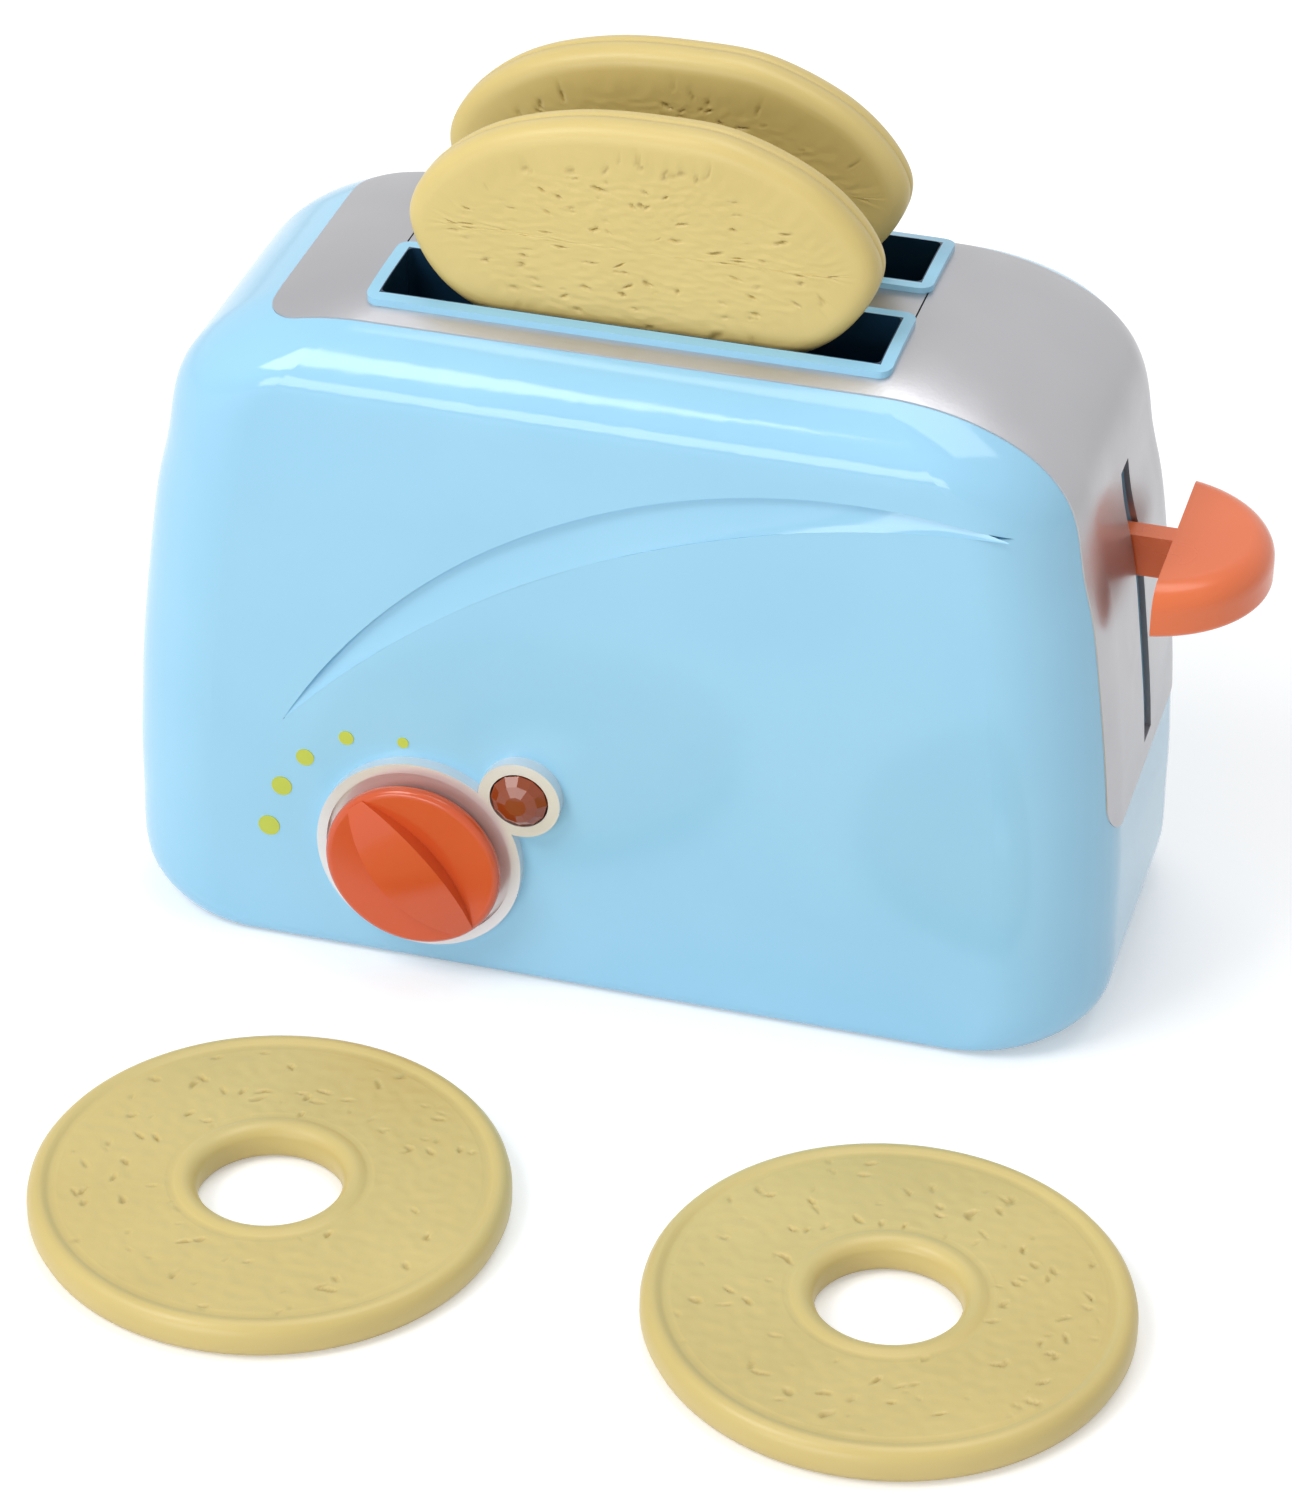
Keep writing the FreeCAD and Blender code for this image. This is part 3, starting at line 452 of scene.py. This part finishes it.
def slice_edge(share, half_x, height):
    # a point of the slice's outline and its inward direction, through the outline's marks in turn
    count = len(slice_marks)
    first = int(share * count) % count
    step = share * count - int(share * count)
    marks = [slice_marks[(first + offset) % count] for offset in (-1, 0, 1, 2)]
    before, start, end, after = (Vector((x * half_x, z * height)) for x, z in marks)
    leave = (end - before) / 2
    arrive = (after - start) / 2
    point = (start * (2 * step ** 3 - 3 * step ** 2 + 1)
             + leave * (step ** 3 - 2 * step ** 2 + step)
             + end * (3 * step ** 2 - 2 * step ** 3)
             + arrive * (step ** 3 - step ** 2))
    tangent = (start * (6 * step ** 2 - 6 * step)
               + leave * (3 * step ** 2 - 4 * step + 1)
               + end * (6 * step - 6 * step ** 2)
               + arrive * (3 * step ** 2 - 2 * step))
    inward = Vector((-tangent.y, tangent.x)).normalized()
    return point, inward


def play_slice(node_name, body, seed):
    # an oval slab with a rounded rim, a parting line round its side and crumb on both faces
    low, high = node_corners(node_name)
    middle = (low + high) / 2
    half = (high - low) / 2
    thick = half.y * 2000
    profile = [(0.0, 0.0)]
    profile += [(crumb_outer * row / crumb_rows, 0.0) for row in range(1, crumb_rows + 1)]
    profile += slice_rim
    profile += [(slice_side_radius, thick / 2 - slice_parting_rise),
                (slice_parting_radius, thick / 2)]
    profile += [(radius, thick - height) for radius, height in reversed(profile[:-1])]
    piece = turned_bread(profile)
    press_pits(piece, slice_crumb_depth, -1.0, crumb_outer / 1000 + slice_crumb_margin, seed)
    centre = Vector((0.0, half.z))
    edges = {}
    for vertex in piece.data.vertices:
        radius = vertex.co.xy.length
        turn = math.atan2(vertex.co.y, vertex.co.x) / (2 * math.pi)
        number = round(turn * bread_steps) % bread_steps
        if number not in edges:
            edges[number] = slice_edge(number / bread_steps, half.x, 2 * half.z)
        point, inward = edges[number]
        place = point + inward * (slice_radius - max(radius, slice_core))
        if radius < slice_core:
            place = centre + (place - centre) * (radius / slice_core)
        vertex.co.x = place.x
        vertex.co.y = place.y - half.z
    piece.rotation_euler = (math.pi / 2, 0.0, 0.0)
    piece.location = (middle.x, high.y, middle.z)
    finish_piece(piece, body + "_play_bread", slice_crumb, 60.0)
    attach(piece, body)
    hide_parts(node_name)


def play_bagel(node_name, body, seed):
    # a ring with a rolled lip at its edge and at its hole, and crumb between them
    low, high = node_corners(node_name)
    middle = (low + high) / 2
    run = bagel_crumb_outer - bagel_crumb_inner
    profile = bagel_outer_lip[:]
    profile += [(bagel_crumb_outer - run * row / crumb_rows, bagel_crumb_height)
                for row in range(crumb_rows + 1)]
    profile += bagel_inner_lip + bagel_underside
    profile.append(profile[0])
    piece = turned_bread(profile)
    press_pits(piece, bagel_crumb_depth, bagel_pit_inner, bagel_pit_outer, seed)
    piece.location = (middle.x, middle.y, 0.0)
    finish_piece(piece, body + "_play_bread", bagel_crumb, 60.0)
    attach(piece, body)
    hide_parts(node_name)


def arc_point(start, middle, end, share):
    # a point at one share of the arc through three points in the XZ plane
    ax, az = start.x, start.z
    bx, bz = middle.x, middle.z
    cx, cz = end.x, end.z
    a_square = ax * ax + az * az
    b_square = bx * bx + bz * bz
    c_square = cx * cx + cz * cz
    area = 2 * (ax * (bz - cz) + bx * (cz - az) + cx * (az - bz))
    centre_x = (a_square * (bz - cz) + b_square * (cz - az) + c_square * (az - bz)) / area
    centre_z = (a_square * (cx - bx) + b_square * (ax - cx) + c_square * (bx - ax)) / area
    radius = math.hypot(ax - centre_x, az - centre_z)
    first = math.atan2(az - centre_z, ax - centre_x)
    last = math.atan2(cz - centre_z, cx - centre_x)
    turn = first + (last - first) * share
    return Vector((centre_x + radius * math.cos(turn), 0.0, centre_z + radius * math.sin(turn)))


def swoosh_band():
    # a bevel that lies in the casing's crescent: flush at its lower line, sunk at its upper one
    chord = (swoosh_right - swoosh_left).normalized()
    upper_middle = swoosh_middle + Vector((-chord.z, 0.0, chord.x)) * swoosh_breadth
    deselect()
    bpy.ops.mesh.primitive_grid_add(
        x_subdivisions=swoosh_stations, y_subdivisions=swoosh_rows, size=2.0)
    piece = bpy.context.object
    for vertex in piece.data.vertices:
        share = swoosh_tip_share + swoosh_middle_share * (vertex.co.x + 1) / 2
        rise = (vertex.co.y + 1) / 2
        low = arc_point(swoosh_left, swoosh_middle, swoosh_right, share)
        high = arc_point(swoosh_left, upper_middle, swoosh_right, share)
        place = low.lerp(high, rise)
        width = min(1.0, (high - low).length / swoosh_full_width)
        sunk = (swoosh_depth - swoosh_gap) * rise ** swoosh_hollow * width
        vertex.co = (place.x, face_y(place.z) + sunk, place.z)
    bpy.ops.object.mode_set(mode="EDIT")
    bpy.ops.mesh.select_all(action="SELECT")
    bpy.ops.mesh.normals_make_consistent(inside=False)
    bpy.ops.object.mode_set(mode="OBJECT")
    if piece.data.polygons[0].normal.y > 0:
        piece.data.flip_normals()
    finish_piece(piece, "swoosh_band", shell_blue)
    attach(piece, "casing")


def faceted_jewel():
    # the lens as a cut jewel: a domed front with flat facets, a stem and a flange inside the casing
    low, high = node_corners("indicator_lens")
    middle = (low + high) / 2
    depth = high.y - low.y
    deselect()
    # the circle only gives an empty mesh in edit mode, for the half section
    bpy.ops.mesh.primitive_circle_add(vertices=3, radius=0.001)
    piece = bpy.context.object
    bpy.ops.object.mode_set(mode="EDIT")
    bpy.ops.mesh.select_all(action="SELECT")
    bpy.ops.mesh.delete(type="VERT")
    outline = bmesh.from_edit_mesh(piece.data)
    points = []
    for radius, back in jewel_profile:
        height = depth - back / 1000 if back >= 0 else -back / 1000
        points.append(outline.verts.new((radius / 1000, 0.0, height)))
    for first, second in zip(points, points[1:]):
        outline.edges.new((first, second))
    bmesh.update_edit_mesh(piece.data)
    bpy.ops.mesh.select_all(action="SELECT")
    bpy.ops.mesh.spin(steps=jewel_facets, angle=2 * math.pi,
                      center=(0.0, 0.0, 0.0), axis=(0.0, 0.0, 1.0))
    bpy.ops.mesh.select_all(action="SELECT")
    bpy.ops.mesh.remove_doubles(threshold=0.00002)
    bpy.ops.mesh.normals_make_consistent(inside=False)
    bpy.ops.object.mode_set(mode="OBJECT")
    piece.rotation_euler = (math.pi / 2, 0.0, 0.0)
    piece.location = (middle.x, high.y, middle.z)
    finish_piece(piece, "amber_jewel", lens_amber, 8.0)
    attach(piece, "casing")
    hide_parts("indicator_lens")


def printed_marks():
    # five thin printed discs round the dial, smaller and smaller
    discs = []
    for x, z, across in dial_marks:
        deselect()
        bpy.ops.mesh.primitive_cylinder_add(
            vertices=32, radius=across / 2, depth=dial_mark_thickness)
        disc = bpy.context.object
        disc.rotation_euler = (math.pi / 2, 0.0, 0.0)
        disc.location = (x, face_y(z), z)
        discs.append(disc)
    deselect()
    for disc in discs:
        disc.select_set(True)
    bpy.context.view_layer.objects.active = discs[0]
    bpy.ops.object.join()
    piece = bpy.context.object
    finish_piece(piece, "dial_marks", dot_paint)
    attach(piece, "casing")


# noise_vector takes its offsets from the random state, so that is seeded before the bread is made
noise.seed_set(wander_seed)
play_slice("bread_front", "slice_front", 3.0)
play_slice("bread_rear", "slice_rear", 11.0)
play_bagel("bagel_left", "bagel_a", 19.0)
play_bagel("bagel_right", "bagel_b", 27.0)
swoosh_band()
faceted_jewel()
printed_marks()


def seen_by_camera_or_gloss(nodes, links):
    # 1 where the camera, a reflection or a view through glass sees the surface, 0 elsewhere
    path = nodes.new("ShaderNodeLightPath")
    seen = compute(nodes, links, "MAXIMUM", path.outputs["Is Camera Ray"],
                   path.outputs["Is Glossy Ray"])
    return compute(nodes, links, "MAXIMUM", seen, path.outputs["Is Transmission Ray"])


def floor_material():
    # pale, white to the camera, and it keeps the shadow
    material = bpy.data.materials.new("floor")
    material.use_nodes = True
    nodes = material.node_tree.nodes
    links = material.node_tree.links
    nodes.clear()
    out = nodes.new("ShaderNodeOutputMaterial")
    matt = nodes.new("ShaderNodeBsdfDiffuse")
    matt.inputs["Color"].default_value = (*floor_pale, 1.0)
    glow = nodes.new("ShaderNodeEmission")
    lift = compute(nodes, links, "MULTIPLY", seen_by_camera_or_gloss(nodes, links), floor_glow)
    links.new(lift, glow.inputs["Strength"])
    both = nodes.new("ShaderNodeAddShader")
    links.new(matt.outputs["BSDF"], both.inputs[0])
    links.new(glow.outputs["Emission"], both.inputs[1])
    links.new(both.outputs["Shader"], out.inputs["Surface"])
    return material


deselect()
bpy.ops.mesh.primitive_plane_add(size=floor_size, location=(0.0, 0.0, 0.0))
floor = bpy.context.object
floor.name = "floor"
floor.data.materials.append(floor_material())

world = bpy.data.worlds.new("studio")
bpy.context.scene.world = world
world.use_nodes = True
world_nodes = world.node_tree.nodes
world_links = world.node_tree.links
backdrop = world_nodes["Background"]
backdrop.inputs["Color"].default_value = (1.0, 1.0, 1.0, 1.0)
bright = span(world_nodes, world_links, seen_by_camera_or_gloss(world_nodes, world_links),
              world_light, 1.0, 0.0, 1.0)
world_links.new(bright, backdrop.inputs["Strength"])

for name, place, aim, width, height, power in softboxes:
    light = bpy.data.lights.new(name, "AREA")
    light.shape = "RECTANGLE"
    light.size = width
    light.size_y = height
    light.energy = power
    lamp = bpy.data.objects.new(name, light)
    lamp.location = place
    lamp.rotation_euler = (Vector(aim) - Vector(place)).to_track_quat("-Z", "Y").to_euler()
    bpy.context.collection.objects.link(lamp)

camera_data = bpy.data.cameras.new("camera")
camera_data.lens = camera_lens
camera_data.sensor_width = camera_sensor
camera_data.clip_end = camera_reach
camera = bpy.data.objects.new("camera", camera_data)
view_turn = (Matrix.Rotation(camera_azimuth, 4, "Z")
             @ Matrix.Rotation(math.pi / 2 - camera_elevation, 4, "X")
             @ Matrix.Rotation(camera_roll, 4, "Z"))
camera.matrix_world = (Matrix.Translation(camera_target) @ view_turn
                       @ Matrix.Translation((0.0, 0.0, camera_distance)))
bpy.context.collection.objects.link(camera)
bpy.context.scene.camera = camera
bpy.context.scene.view_settings.view_transform = "Standard"
